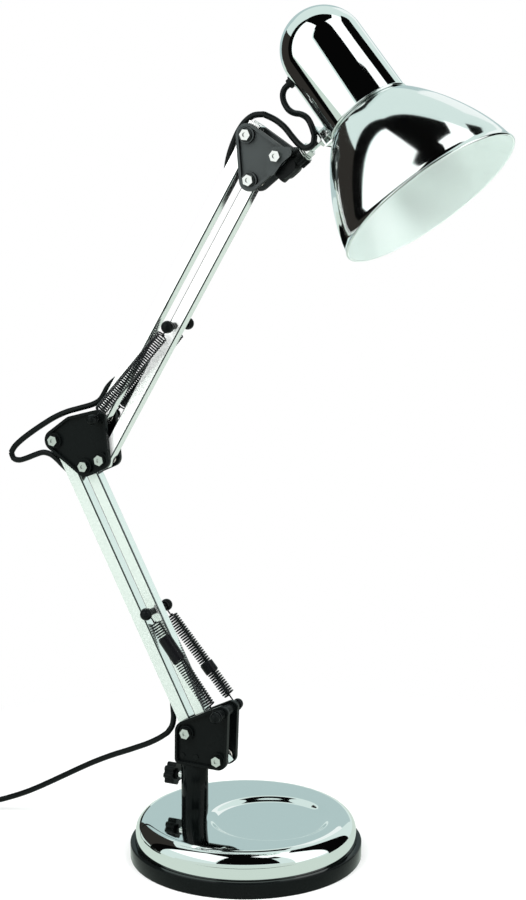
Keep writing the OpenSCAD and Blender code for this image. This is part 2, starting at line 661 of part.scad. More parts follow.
module lampholder() color(PLASTIC) head() difference() {
    union() {
        translate([0, 0, neck_z - 13]) cylinder(r = holder_r, h = 13 + bracket_t + 1);
        translate([0, 0, shoulder_z]) cylinder(r = holder_r + 2.5, h = 4);
        translate([0, 0, shoulder_z + 4]) cylinder(r1 = holder_r, r2 = holder_r - 3, h = 36);
        translate([0, 0, shoulder_z + 40]) cylinder(r1 = holder_r - 3, r2 = 8, h = 7);
    }
    translate([0, 0, neck_z - 14]) cylinder(r = 14, h = 44);
}
module shade_ring() color(PLASTIC) head() difference() {
    translate([0, 0, neck_z - shade_wall - 5]) cylinder(r = holder_r + 4.5, h = 5);
    translate([0, 0, neck_z - shade_wall - 6]) cylinder(r = holder_r + running_gap, h = 7);
    for (i = [0 : 11]) rotate(i * 30) translate([holder_r + 5.4, 0, neck_z - shade_wall - 6])
        cylinder(r = 1.6, h = 7, $fn = 16);
}
module holder_contact() color("goldenrod") head() {
    difference() {
        translate([0, 0, neck_z - 9]) cylinder(r = 13.95, h = 34);
        translate([0, 0, neck_z - 10]) cylinder(r = 13.4, h = 36);
    }
    translate([0, 0, neck_z + 26.5]) cylinder(r = 4, h = 3.4);
}
module cable_gland() color(PLASTIC) head() translate([0, 0, gland_z]) rotate([0, -90, 0]) {
    translate([0, 0, cap_r - 3]) cylinder(r = gland_r - 0.02, h = 7, $fn = 48);
    translate([0, 0, cap_r + 0.1]) cylinder(r = gland_r + 1, h = 1.2, $fn = 48);
}

// ---------- leads ----------
// Turns of the loose lead, as offsets from the pivot it passes
elbow_turns = [
    [20.9, -38.7], [16.5, -33.1], [11.8, -28.2], [6.5, -23.7], [1.2, -19.6], [-3.7, -15.5], [-8.9, -12.3],
    [-15.5, -11.3], [-22.9, -13.7], [-30, -16.6], [-36.8, -18.6], [-41.9, -17.5], [-43.6, -13],
    [-40.3, -8.2], [-33.6, -2.4], [-25, 3.7], [-15, 10.1], [-4.5, 16.2], [6.3, 20.9], [17.3, 24.2]];
elbow_rise = [
    [-9.2, 8.8], [-3, 12.2], [0.4, 16.6], [3.4, 21.6], [7.4, 25.8], [12, 29.2], [16.9, 32.3], [21.1, 35.6]];
head_turns = [
    [-21.9, -38.2], [-20.3, -31.6], [-19.5, -25.1], [-18.7, -18.6], [-16.8, -11.5],
    [-13.7, -3.9], [-10, 3.2], [-5, 9.4], [1.4, 13.4], [9, 14], [17.5, 10.2]];
head_loop = [
    [31.5, -3.5, 526.4], [38.5, -7, 520.2], [45, -10.2, 514.9], [51, -12.4, 512.2], [56.6, -12.9, 514.8],
    [57.6, -12.7, 520.6], [55, -11.6, 526.8], [50.6, -8.6, 532], [44.4, -4.6, 534.8], [37.4, -1, 535.9],
    [32, 1.4, 538.6], [28.2, 2.8, 543.6], [27.2, 3.2, 548.6], [28.6, 3.3, 552.6]];
post_turns = [[-19, 39.7], [-16.9, 33.6], [-16.1, 27], [-16, 20.6], [-15.6, 14], [-15.3, 7.4], [-16.6, 0.6],
              [-20.6, -5.4], [-27.6, -10.4]];
floor_route = [
    [-80.5, 0, 73], [-90, 0, 68.6], [-100, 0, 64.2], [-110, 0, 60], [-120, 0, 55.4], [-130, 0, 50.4],
    [-140, 0, 45], [-150, 0, 39.4], [-160, 0, 33.8], [-170, 0, 28.2], [-180, 0, 22.8], [-190, 0, 17.8],
    [-200, 0, 13.4], [-209, -1.4, 10], [-216.6, -5, 8],
    [-222.8, -10.6, 6.8], [-226.8, -17, 6], [-228, -23, 6]];
switch_route = [[-228, -81, 6], [-228, -88, 5], [-228, -94, 3.4], [-228, -100, 2.4], [-228, -104, 2.3]];
plug_route = [[-171.5, -104, 10.8], [-172, -97, 12.6], [-174.2, -90, 15.4], [-178.4, -84.2, 18],
    [-184.4, -81, 19.6], [-191, -82, 20]];
function turns(at, list) = [for (p = list) in_plane(at + p)];
end_gap = 0.4;                           // between a loop and the straight run it continues
gland_end = head_at + (-cap_r - 4 - end_gap) * rod_way + gland_z * axis_way;
elbow_route = concat([in_plane(low_at(lower_len - run_from + end_gap, run_off))], turns(B1, elbow_turns),
    turns(B4, elbow_rise),
    [in_plane(up_at(run_from - 4, run_off - 0.3)), in_plane(up_at(run_from - end_gap, run_off))]);
head_route = concat([in_plane(up_at(upper_len - run_from + end_gap, run_off))],
    turns(C1, head_turns), head_loop,
    [in_plane(gland_end, gland_z * sin(head_turn))]);
lamp_route = concat([in_plane(low_at(run_from - end_gap, run_off))], turns(A1, post_turns), floor_route);
module elbow_cable_loop() color(PLASTIC) cable(elbow_route, [0, 1, 0]);
module head_cable_loop() color(PLASTIC) cable(head_route, [0, 1, 0]);
module supply_cord() color(PLASTIC) {
    cable(lamp_route, [0, 1, 0]);
    cable(switch_route, [1, 0, 0]);
    cable(plug_route, [0, 0, 1]);
}
coil_at = [-198.5, -104];
coil_mid_r = 25;
coil_pitch = cable_d + 0.2;
coil_out = coil_mid_r + 1.5 * coil_pitch + 0.1;
coil_in = coil_mid_r - 1.5 * coil_pitch - 0.1;
coil_h = 13;
module cord_coil() color(PLASTIC) translate([coil_at.x, coil_at.y, 0]) rotate_extrude($fn = 96)
    translate([coil_in, 0]) square([coil_out - coil_in, coil_h]);

// ---------- plug ----------
plug_heading = 200;
module plug_frame() translate([-191, -82, 20]) rotate(plug_heading) children();
module plug_body() color(PLASTIC) plug_frame() {
    rotate([0, 90, 0]) cylinder(r1 = cable_d / 2 + 0.7, r2 = 5, h = 12);
    difference() {
        translate([0, 0, -6.85]) linear_extrude(13.7)
            polygon([[11, -6], [18, -9], [24, -15.5], [38, -15.5], [40, -13.5], [40, 13.5], [38, 15.5],
                     [24, 15.5], [18, 9], [11, 6]]);
        for (s = [-1, 1]) translate([30, s * 9.3, 0]) rotate([0, 90, 0]) cylinder(r = 2, h = 11);
    }
}
module plug_pins() color("silver") plug_frame() for (s = [-1, 1]) translate([30, s * 9.3, 0])
    rotate([0, 90, 0]) cylinder(r = 1.98, h = 29);

// ---------- inline switch ----------
switch_at = [-228, -52];
switch_len = 42;
switch_w = 20;
switch_h = 13;
axle_z = 6.5;
rocker_r = 8.6;
rocker_w = 7;
rocker_half = 6.4;
rocker_tilt = 7;
module switch_frame() translate([switch_at.x, switch_at.y, 0]) rotate(90) children();
module switch_body() color(PLASTIC) switch_frame() difference() {
    union() {
        linear_extrude(switch_h) {
            square([switch_len - 8, switch_w], center = true);
            square([switch_len, switch_w - 8], center = true);
            for (sx = [-1, 1], sy = [-1, 1])
                translate([sx * (switch_len / 2 - 4), sy * (switch_w / 2 - 4)]) circle(4);
        }
        for (s = [-1, 1]) translate([s * (switch_len / 2 - 1), 0, 6]) rotate([0, s * 90, 0])
            cylinder(r1 = 5, r2 = cable_d / 2 + 0.8, h = 9);
    }
    translate([-rocker_r - 1, -rocker_w / 2 - slack, 3])
        cube([2 * rocker_r + 2, rocker_w + 2 * slack, switch_h]);
    translate([0, 7, axle_z]) rotate([90, 0, 0]) cylinder(r = 1.5 + running_gap, h = 14);
}
module switch_rocker() color("dimgray") switch_frame() {
    translate([0, rocker_w / 2, axle_z]) rotate([90, 0, 0]) rotate(rocker_tilt) linear_extrude(rocker_w)
        intersection() {
            circle(rocker_r);
            translate([-rocker_half, -2.5]) square([2 * rocker_half, rocker_r + 3]);
        }
    translate([0, 6.5, axle_z]) rotate([90, 0, 0]) cylinder(r = 1.5, h = 13);
}

base_ring();
base_cover();
base_weight();
base_pad();
post_tube();
post_insert();
post_bolt();
locking_screw();
locking_knob();
turret_spigot();
turret_block();
bracket_plate_front();
bracket_plate_rear();
bracket_bolts();
bracket_bushes();
bracket_spring_pin();
lower_channel_bar();
lower_cable_run();
lower_square_bar();
lower_spring_pin();
lower_spring_front();
lower_spring_rear();
lower_spring_sleeves();
elbow_plate_front();
elbow_plate_rear();
elbow_bolts();
elbow_bushes();
elbow_spring_pin();
upper_channel_bar();
upper_cable_run();
upper_square_bar();
upper_spring_pin();
upper_spring_front();
upper_spring_rear();
yoke_plate_front();
yoke_plate_rear();
yoke_bolts();
yoke_bushes();
tilt_block();
tilt_cheeks();
tilt_bolt();
head_rod();
rod_washers();
rod_knob();
shade();
cap();
head_bracket();
lampholder();
shade_ring();
holder_contact();
cable_gland();
rod_nuts();
elbow_cable_loop();
head_cable_loop();
supply_cord();
cord_coil();
plug_body();
plug_pins();
switch_body();
switch_rocker();
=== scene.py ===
# %% [markdown]
# # A balanced-arm desk lamp
# The lamp stands on a weighted chrome base. Two pairs of slim bars, held up by springs, carry a polished
# shade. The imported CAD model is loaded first: it gives every pivot, plate and bar its place in metres, so
# each piece made here goes straight where the real one sits.

# %% Load the frame
import bpy
import json
import math
from mathutils import Matrix, Vector


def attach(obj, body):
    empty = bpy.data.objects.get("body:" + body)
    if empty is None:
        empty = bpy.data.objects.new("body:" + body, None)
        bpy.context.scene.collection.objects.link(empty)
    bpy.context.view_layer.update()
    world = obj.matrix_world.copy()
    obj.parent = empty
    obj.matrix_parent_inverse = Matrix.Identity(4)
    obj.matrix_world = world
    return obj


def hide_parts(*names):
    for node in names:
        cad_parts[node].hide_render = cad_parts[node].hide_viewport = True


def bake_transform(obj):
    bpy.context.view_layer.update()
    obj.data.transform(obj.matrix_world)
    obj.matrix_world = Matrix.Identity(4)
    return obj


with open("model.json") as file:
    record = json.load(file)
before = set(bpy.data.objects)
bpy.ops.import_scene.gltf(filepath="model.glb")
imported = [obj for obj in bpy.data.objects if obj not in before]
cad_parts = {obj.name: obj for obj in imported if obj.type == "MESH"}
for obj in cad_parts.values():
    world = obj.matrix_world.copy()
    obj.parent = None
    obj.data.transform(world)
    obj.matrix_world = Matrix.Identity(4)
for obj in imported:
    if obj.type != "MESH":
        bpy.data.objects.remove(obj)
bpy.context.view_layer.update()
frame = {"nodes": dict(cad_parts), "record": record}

# %% [markdown]
# ## Camera
# A long lens, about 1.2 m away and level with the shade, looks down on the lamp by nine degrees. It keeps
# the bars nearly parallel, as in a catalogue picture.

# %% Camera
mm = 0.001
PICTURE_WIDE = 526
FOCAL_PIXELS = 1759.67
FILM_WIDE = 36
LOOK_DOWN, TURN = 9.12, 24.58
camera_data = bpy.data.cameras.new("catalogue_camera")
camera = bpy.data.objects.new("catalogue_camera", camera_data)
bpy.context.collection.objects.link(camera)
camera.location = (525.24 * mm, -1118.19 * mm, 499.26 * mm)
camera.rotation_euler = (math.radians(90 - LOOK_DOWN), 0, math.radians(TURN))
camera_data.sensor_fit = "HORIZONTAL"
camera_data.sensor_width = FILM_WIDE
camera_data.lens = FOCAL_PIXELS / PICTURE_WIDE * FILM_WIDE
camera_data.clip_end = 20
bpy.context.scene.camera = camera
print("lens", round(camera_data.lens, 1), "mm")

# %% [markdown]
# ## Pivots
# All arms move in one upright plane. A pivot is written as its x and z in millimetres, and a place on a bar
# as its distance along the bar and its distance to the bar's right.

# %% Pivots and bars
def way(lean):
    return Vector((math.sin(math.radians(lean)), math.cos(math.radians(lean))))

def right_of(lean):
    return Vector((math.cos(math.radians(lean)), -math.sin(math.radians(lean))))

LOWER_LEAN = -27.2
UPPER_LEAN = 30.7
LOWER_LENGTH = 237
UPPER_LENGTH = 236.5
HEAD_TILT, HEAD_TURN = -39.3, -4
A1 = Vector((-44, 88.5))
A2 = A1 + Vector((25.5, -17.7))
A4 = A1 + Vector((28.5, 18))
B1 = A1 + LOWER_LENGTH * way(LOWER_LEAN)
B3 = B1 + Vector((39.2, -12.1))
B4 = B3 + Vector((-2.1, 30.8))
C1 = B4 + UPPER_LENGTH * way(UPPER_LEAN)
C3 = C1 + Vector((23.4, -14.5))
P2 = A2 + 119 * way(LOWER_LEAN)
P3 = B3 + 117 * way(UPPER_LEAN)
HEAD_AT = C3 + Vector((57.3, 35.4))

def on_lower(along, right):
    return A1 + along * way(LOWER_LEAN) + right * right_of(LOWER_LEAN)

def on_upper(along, right):
    return B4 + along * way(UPPER_LEAN) + right * right_of(UPPER_LEAN)

def flat_point(p):
    return (p[0], 0, p[1])

TILT = (Matrix.Translation((HEAD_AT.x * mm, 0, HEAD_AT.y * mm))
        @ Matrix.Rotation(math.radians(HEAD_TILT), 4, "Y"))
HEAD = TILT @ Matrix.Rotation(math.radians(HEAD_TURN), 4, "X")
print("elbow pivot", [round(v, 1) for v in B1], "top pivot", [round(v, 1) for v in C1])

# %% [markdown]
# ## Tubes along a line
# A lead or a spring's wire is a round section carried along a line. Blender's curve with a bevel does this.
# The line is first made smooth: between each two route points, more points are laid on a Catmull-Rom curve,
# which passes through every one of them.

# %% Smooth line and tube
def smooth_line(points, step=2.0):
    p = [Vector(q) for q in points]
    p = [2 * p[0] - p[1]] + p + [2 * p[-1] - p[-2]]
    line = []
    for i in range(1, len(p) - 2):
        count = max(1, round((p[i + 1] - p[i]).length / step))
        for k in range(count):
            t = k / count
            a = 2 * p[i]
            b = (p[i + 1] - p[i - 1]) * t
            c = (2 * p[i - 1] - 5 * p[i] + 4 * p[i + 1] - p[i + 2]) * t * t
            d = (3 * p[i] - p[i - 1] - 3 * p[i + 1] + p[i + 2]) * t ** 3
            line.append(0.5 * (a + b + c + d))
    line.append(p[-2])
    return line

def tube(name, line_mm, thick_mm, sides=3):
    data = bpy.data.curves.new(name, "CURVE")
    data.dimensions = "3D"
    data.bevel_depth = thick_mm / 2 * mm
    data.bevel_resolution = sides
    data.use_fill_caps = True
    data.twist_mode = "MINIMUM"
    spline = data.splines.new("POLY")
    spline.points.add(len(line_mm) - 1)
    for point, place in zip(spline.points, line_mm):
        point.co = (*(Vector(place) * mm), 1)
    obj = bpy.data.objects.new(name, data)
    bpy.context.collection.objects.link(obj)
    bpy.ops.object.select_all(action="DESELECT")
    obj.select_set(True)
    bpy.context.view_layer.objects.active = obj
    bpy.ops.object.convert(target="MESH")
    obj = bpy.context.object
    bpy.ops.object.shade_smooth()
    return obj

def length_of(line):
    return sum((b - a).length for a, b in zip(line, line[1:])) * mm

print("a bend of three points becomes", len(smooth_line([(0, 0, 0), (9, 0, 9), (18, 0, 0)])), "points")

# %% [markdown]
# ## The lead
# A thin black two-core lead comes out of the lower bar's channel, falls behind the post and runs down to the
# table. Past the picture's edge it meets a small rocker switch and ends in a coil with its flat plug on top.
# Around the elbow and up to the cap it hangs in two loose loops. Each stretch that crosses a joint is a piece
# of its own.

# %% Lead routes
LEAD = 4.4
RUN = 1.3
LOW_RUN_FROM, LOW_RUN_TO = 50, 187
HIGH_RUN_FROM, HIGH_RUN_TO = 50, 186.5
post_turns = [(-19, 39.7), (-16.9, 33.6), (-16.1, 27), (-16, 20.6), (-15.6, 14), (-15.3, 7.4),
              (-16.6, 0.6), (-20.6, -5.4), (-27.6, -10.4)]
floor_route = [(-80.5, 0, 73), (-90, 0, 68.6), (-100, 0, 64.2), (-110, 0, 60), (-120, 0, 55.4),
               (-130, 0, 50.4), (-140, 0, 45), (-150, 0, 39.4), (-160, 0, 33.8), (-170, 0, 28.2),
               (-180, 0, 22.8), (-190, 0, 17.8), (-200, 0, 13.4), (-209, -1.4, 10), (-216.6, -5, 8),
               (-222.8, -10.6, 6.8), (-226.8, -17, 6), (-228, -23, 6)]
post_part = [flat_point(on_lower(LOW_RUN_FROM, RUN))] + [flat_point(A1 + Vector(p)) for p in post_turns]
lead_a = smooth_line(post_part[:9])
lead_b = smooth_line([post_part[8], post_part[9]] + floor_route)
elbow_turns = [(20.9, -38.7), (16.5, -33.1), (11.8, -28.2), (6.5, -23.7), (1.2, -19.6), (-3.7, -15.5),
               (-8.9, -12.3), (-15.5, -11.3), (-22.9, -13.7), (-30, -16.6), (-36.8, -18.6),
               (-41.9, -17.5), (-43.6, -13), (-40.3, -8.2), (-33.6, -2.4), (-25, 3.7), (-15, 10.1),
               (-4.5, 16.2), (6.3, 20.9), (17.3, 24.2)]
elbow_rise = [(-9.2, 8.8), (-3, 12.2), (0.4, 16.6), (3.4, 21.6), (7.4, 25.8), (12, 29.2), (16.9, 32.3),
              (21.1, 35.6)]
elbow_way = ([flat_point(on_lower(LOW_RUN_TO, RUN))] + [flat_point(B1 + Vector(p)) for p in elbow_turns]
             + [flat_point(B4 + Vector(p)) for p in elbow_rise]
             + [flat_point(on_upper(46, 1.0)), flat_point(on_upper(HIGH_RUN_FROM, RUN))])
elbow_a = smooth_line(elbow_way[:14])
elbow_b = smooth_line(elbow_way[13:])
head_turns = [(-21.9, -38.2), (-20.3, -31.6), (-19.5, -25.1), (-18.7, -18.6), (-16.8, -11.5),
              (-13.7, -3.9), (-10, 3.2), (-5, 9.4), (1.4, 13.4), (9, 14), (17.5, 10.2)]
head_loop = [(31.5, -3.5, 526.4), (38.5, -7, 520.2), (45, -10.2, 514.9), (51, -12.4, 512.2),
             (56.6, -12.9, 514.8), (57.6, -12.7, 520.6), (55, -11.6, 526.8), (50.6, -8.6, 532),
             (44.4, -4.6, 534.8), (37.4, -1, 535.9), (32, 1.4, 538.6), (28.2, 2.8, 543.6),
             (27.2, 3.2, 548.6), (28.6, 3.3, 552.6)]
gland_end = TILT @ Vector((-33.7 * mm, 0, 44.5 * mm)) / mm
head_way = ([flat_point(on_upper(HIGH_RUN_TO, RUN))] + [flat_point(C1 + Vector(p)) for p in head_turns]
            + head_loop + [(gland_end.x, 3.1, gland_end.z)])
head_a = smooth_line(head_way[:11])
head_b = smooth_line(head_way[10:18])
head_c = smooth_line(head_way[17:])
print("lead to the table starts at", flat_point(on_lower(LOW_RUN_FROM, RUN)))

# %% Coil and the way to the plug
COIL_AT = Vector((-198.5, -104))
COIL_TURNS = 7.5
POINTS_A_TURN = 24
CROSSING_FROM = 0.7
switch_out = [(-228, -81, 6), (-228, -88, 5), (-228, -94, 3.4)]
plug_way = [(-172, -97, 12.6), (-174.2, -90, 15.4), (-178.4, -84.2, 18), (-184.4, -81, 19.6),
            (-191, -82, 20)]
turns = [(29.5, 2.2), (25, 2.2), (20.4, 2.2), (20.4, 6.5), (25, 6.5), (29.6, 6.5), (29.6, 10.8),
         (27, 10.8)]
coil = []
for k in range(int(COIL_TURNS * POINTS_A_TURN) + 1):
    turn, part = divmod(k / POINTS_A_TURN, 1)
    here, after = turns[int(turn)], turns[min(int(turn) + 1, len(turns) - 1)]
    blend = max(0.0, (part - CROSSING_FROM) / 0.3)
    blend = blend * blend * (3 - 2 * blend)
    radius = here[0] + (after[0] - here[0]) * blend
    height = here[1] + (after[1] - here[1]) * blend
    angle = math.radians(180 + 360 * k / POINTS_A_TURN)
    coil.append((COIL_AT.x + radius * math.cos(angle), COIL_AT.y + radius * math.sin(angle), height))
lead_c = smooth_line(switch_out + coil + plug_way)
print("coil line", len(lead_c), "points")

# %% Lead pieces
def place(x, z):
    return Vector((x * mm, 0, z * mm))

lead_pieces = [
    ("lead_at_post", lead_a, ("lower_bar_l", "turret"), (-65.7, 133.6), (-60, 101), "supply_cord"),
    ("lead_to_table", lead_b, ("turret", "base"), (-65.4, 81.9), (-124.5, 53), "supply_cord"),
    ("elbow_loop_low", elbow_a, ("lower_bar_l", "elbow"), (-128.3, 255.4), (-165, 290), "elbow_cable_loop"),
    ("elbow_loop_high", elbow_b, ("elbow", "upper_bar_l"), (-152, 319), (-92.6, 353.5), "elbow_cable_loop"),
    ("head_loop_low", head_a, ("upper_bar_l", "yoke"), (-18, 480), (-2, 530), "head_cable_loop"),
    ("head_loop_middle", head_b, ("yoke", "tilt_head"), (20, 530), (50, 512), "head_cable_loop"),
    ("head_loop_high", head_c, ("tilt_head", "head"), (58, 520), (31, 553), "head_cable_loop")]
leads = {}
for name, line, bodies, start, end, stands_for in lead_pieces:
    obj = tube(name, line, LEAD)
    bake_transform(obj)
    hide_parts(stands_for)
    leads[name] = obj
    print(name, round(length_of(line), 3), "m")

coil_piece = tube("lead_coil", lead_c, LEAD)
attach(coil_piece, "base")
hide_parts("cord_coil")
leads["lead_coil"] = coil_piece
print("coil", round(length_of(lead_c), 3), "m")

# %% [markdown]
# ## Springs
# Each spring is one wire: it hooks round its lower pin, winds about forty times and hooks round its upper
# pin. The line is worked out in the spring's own directions and carried by the same tube as the lead.

# %% Springs
WIRE = 1.15
COIL_R = 9.5 / 2 - WIRE / 2
COIL_PITCH = 1.95
SHANK = 1.6
HOOK_TURN, HOOK_STEPS = 310, 14
WIRE_STEPS = 12
RING_GAP = 0.3
SLEEVE_D = 10.3

def spring_line(p, p_y, q, q_y, p_ring, q_ring, coil_from, coil_to):
    start, end = Vector((p.x, p_y, p.y)), Vector((q.x, q_y, q.y))
    reach = (end - start).length
    along = (end - start).normalized()
    up = along.cross(Vector((0, 1, 0))).normalized()
    side = up.cross(along)
    line = []
    def add(u, v, w):
        line.append(start + u * along + v * up + w * side)
    for k in range(HOOK_STEPS + 1):
        a = math.radians(50 + HOOK_TURN * k / HOOK_STEPS)
        add(p_ring * math.cos(a), p_ring * math.sin(a), 0)
    add(coil_from - SHANK, 0, 0)
    length = reach - coil_from - coil_to
    last = round(length / COIL_PITCH) * WIRE_STEPS
    for k in range(last + 1):
        a = 2 * math.pi * k / WIRE_STEPS
        grow = min(1.0, k / 6, (last - k) / 6)
        add(coil_from + length * k / last, COIL_R * grow * math.cos(a), COIL_R * grow * math.sin(a))
    add(reach - coil_to + SHANK, 0, 0)
    for k in range(HOOK_STEPS + 1):
        a = math.radians(180 + HOOK_TURN * k / HOOK_STEPS)
        add(reach + q_ring * math.cos(a), q_ring * math.sin(a), 0)
    return line

def sleeve(name, p, p_y, q, q_y, first, last):
    start, end = Vector((p.x, p_y, p.y)), Vector((q.x, q_y, q.y))
    points = [start + (end - start) * (first + (last - first) * k / 12) for k in range(13)]
    return tube(name, points, SLEEVE_D, sides=6)

spring_list = [
    ("lower_spring_front", P2, -12.6, A4, -16.5, (2.5, 3.1, 8, 8.5), ("lower_bar_r", "turret")),
    ("lower_spring_rear", P2, 12.6, A4, 16.5, (2.5, 3.1, 8, 8.5), ("lower_bar_r", "turret")),
    ("upper_spring_front", P3, -12.6, B4, -15.5, (2.5, 2.4, 8, 8), ("upper_bar_r", "elbow")),
    ("upper_spring_rear", P3, 12.6, B4, 15.5, (2.5, 2.4, 8, 8), ("upper_bar_r", "elbow"))]
springs = {}
for name, p, p_y, q, q_y, (p_pin, q_pin, head, tail), bodies in spring_list:
    rings = (p_pin + RING_GAP + WIRE / 2, q_pin + RING_GAP + WIRE / 2)
    line = spring_line(p, p_y, q, q_y, *rings, head, tail)
    obj = tube("wound_" + name, line, WIRE, sides=2)
    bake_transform(obj)
    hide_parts(name)
    springs[name] = obj
    print(name, len(line), "points")

# %% Sleeves
sleeve_list = [("front_sleeve", -12.6, -16.5, 0.24, 0.46), ("rear_sleeve", 12.6, 16.5, 0.58, 0.67)]
sleeves = []
for name, p_y, q_y, first, last in sleeve_list:
    obj = sleeve(name, P2, p_y, A4, q_y, first, last)
    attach(obj, "lower_bar_r")
    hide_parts("lower_spring_sleeves")
    sleeves.append(obj)
print("sleeves", len(sleeves))

# %% [markdown]
# ## Turned pieces
# The cover, the foot ring, the shade and the cap are round, and their polish shows every flat. Each is made
# afresh from one circle: the circle is extruded, and every new ring is moved and scaled to the next point of
# the section. The rings meet in long even strips, so the reflections run smoothly.

# %% Turning helper
SEGMENTS = 160
SMOOTH_ANGLE = 38

def turned(name, section):
    bpy.ops.object.select_all(action="DESELECT")
    radius, height, aside = section[0]
    bpy.ops.mesh.primitive_circle_add(vertices=SEGMENTS, radius=radius * mm,
                                      location=(aside * mm, 0, height * mm))
    obj = bpy.context.object
    obj.name = name
    bpy.ops.object.transform_apply(location=True, rotation=True, scale=True)
    bpy.ops.object.mode_set(mode="EDIT")
    bpy.ops.mesh.select_all(action="SELECT")
    for (r0, z0, x0), (r1, z1, x1) in zip(section, section[1:]):
        step = ((x1 - x0) * mm, 0, (z1 - z0) * mm)
        bpy.ops.mesh.extrude_region_move(TRANSFORM_OT_translate={"value": step})
        if r1 != r0:
            k = r1 / r0
            bpy.ops.transform.resize(value=(k, k, 1), center_override=(x1 * mm, 0, z1 * mm))
    bpy.ops.mesh.select_all(action="SELECT")
    bpy.ops.mesh.remove_doubles(threshold=1e-6)
    bpy.ops.mesh.normals_make_consistent(inside=False)
    bpy.ops.object.mode_set(mode="OBJECT")
    bpy.ops.object.shade_smooth_by_angle(angle=math.radians(SMOOTH_ANGLE))
    return obj

def arc(cx, cz, r, a0, a1, count):
    angles = [math.radians(a0 + (a1 - a0) * k / count) for k in range(count + 1)]
    return [(cx + r * math.cos(a), cz + r * math.sin(a), 0) for a in angles]

print("a quarter arc of four steps has", len(arc(0, 0, 1, 0, 90, 4)), "points")

# %% Base cover
DISH_X = 19
SHOULDER = (69, 18.5)
POST_X, POST_HOLE_R = -42, 10.1
DISH_STEPS = 16
dish_edge = [(46 - 8.5 * k / DISH_STEPS, 28.9 + 1.6 * math.cos(math.pi * k / DISH_STEPS), DISH_X)
             for k in range(DISH_STEPS + 1)]
cover = turned("pressed_cover", [(0.01, 26.1, DISH_X), (38, 26.1, DISH_X), (47, 29.3, DISH_X)]
               + arc(*SHOULDER, 10.8, 90, 0, 12) + [(79.8, 2.6, 0), (81, 2.6, 0)]
               + arc(*SHOULDER, 12, 0, 90, 20) + dish_edge + [(20, 27.3, DISH_X), (0.01, 27.3, DISH_X)])
bpy.ops.mesh.primitive_cylinder_add(vertices=96, radius=POST_HOLE_R * mm, depth=20 * mm,
                                    location=(POST_X * mm, 0, 30 * mm))
drill = bpy.context.object

def cut(obj, tool):
    bpy.ops.object.select_all(action="DESELECT")
    bpy.context.view_layer.objects.active = obj
    obj.select_set(True)
    step = obj.modifiers.new("cut", "BOOLEAN")
    step.operation = "DIFFERENCE"
    step.solver = "EXACT"
    step.object = tool
    bpy.ops.object.modifier_apply(modifier="cut")
    bpy.data.objects.remove(tool)
    bpy.ops.object.shade_smooth_by_angle(angle=math.radians(SMOOTH_ANGLE))

cut(cover, drill)
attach(cover, "base")
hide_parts("base_cover")
print("cover", len(cover.data.polygons), "faces")

# %% Foot ring
foot_in = (77, 0, 0)
ring = turned("foot_ring", [foot_in, (84.3, 0, 0), (84.8, 0.25, 0), (85, 0.8, 0), (85, 10.5, 0)]
              + arc(84, 10.5, 1, 15, 90, 5) + arc(81.65, 11, 0.5, 90, 180, 3)
              + [(81.15, 2.6, 0), (77, 2.6, 0), foot_in])
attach(ring, "base")
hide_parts("base_ring")
print("ring", len(ring.data.polygons), "faces")

# %% [markdown]
# ## Shade and cap
# The bell was spun from thin sheet, so it has one wall with an even thickness and a small rolled bead at its
# rim. It is turned in its own upright place and then set down at the head's tilt. The cap is a tube that ends
# in half a ball. Its slot for the bracket and the hole for the lead are cut with a box and a cylinder.

# %% Shade
NECK_R, NECK_Z, RIM_R, SHADE_H = 28.6, -9.8, 66.0, 72.7
COLLAR_R = 20.4
SHADE_STEPS = 30

def shade_r(u):
    return NECK_R + (RIM_R - NECK_R) * (1 - u ** 1.5) ** 0.85

steps = [1 - (1 - k / SHADE_STEPS) ** 1.7 for k in range(SHADE_STEPS + 1)]
outer = [(shade_r(u), NECK_Z - SHADE_H * (1 - u), 0) for u in steps]
inner = [(shade_r(u) - 1, NECK_Z - SHADE_H * (1 - u) - (1 if k == SHADE_STEPS else 0), 0)
         for k, u in enumerate(steps)]
bead = arc(RIM_R, NECK_Z - SHADE_H + 0.5, 0.9, -180, 60, 10)
collar_low = (COLLAR_R, NECK_Z - 1, 0)
shade = turned("spun_shade", [collar_low] + inner[::-1] + bead[1:] + outer[1:]
               + [(COLLAR_R, NECK_Z, 0), collar_low])
shade.data.transform(HEAD)
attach(shade, "head")
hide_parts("shade")
print("shade", len(shade.data.polygons), "faces")

# %% Cap
CAP_R, CAP_IN_R, DOME_Z = 29.7, 28.7, 45.8
GLAND_Z, GLAND_R = 44.5, 3.6
cap = turned("domed_cap", [(CAP_IN_R, NECK_Z, 0), (CAP_IN_R, DOME_Z, 0)]
             + arc(0, DOME_Z, CAP_IN_R, 3, 89.9, 18) + arc(0, DOME_Z, CAP_R, 89.9, 0, 24)
             + [(CAP_R, NECK_Z + 1.6, 0)] + arc(CAP_R - 0.2, NECK_Z + 0.8, 0.8, 45, -80, 6)
             + [(CAP_IN_R, NECK_Z, 0)])
bpy.ops.mesh.primitive_cube_add(size=1, location=(-CAP_IN_R * mm, 0, (NECK_Z + 0.45) * mm),
                                scale=(8 * mm, 20 * mm, 2.9 * mm))
cut(cap, bpy.context.object)
bpy.ops.mesh.primitive_cylinder_add(vertices=64, radius=GLAND_R * mm, depth=20 * mm,
                                    location=(-CAP_R * mm, 0, GLAND_Z * mm), rotation=(0, math.radians(90), 0))
cut(cap, bpy.context.object)
cap.data.transform(HEAD)
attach(cap, "head")
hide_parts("cap")
print("cap", len(cap.data.polygons), "faces")

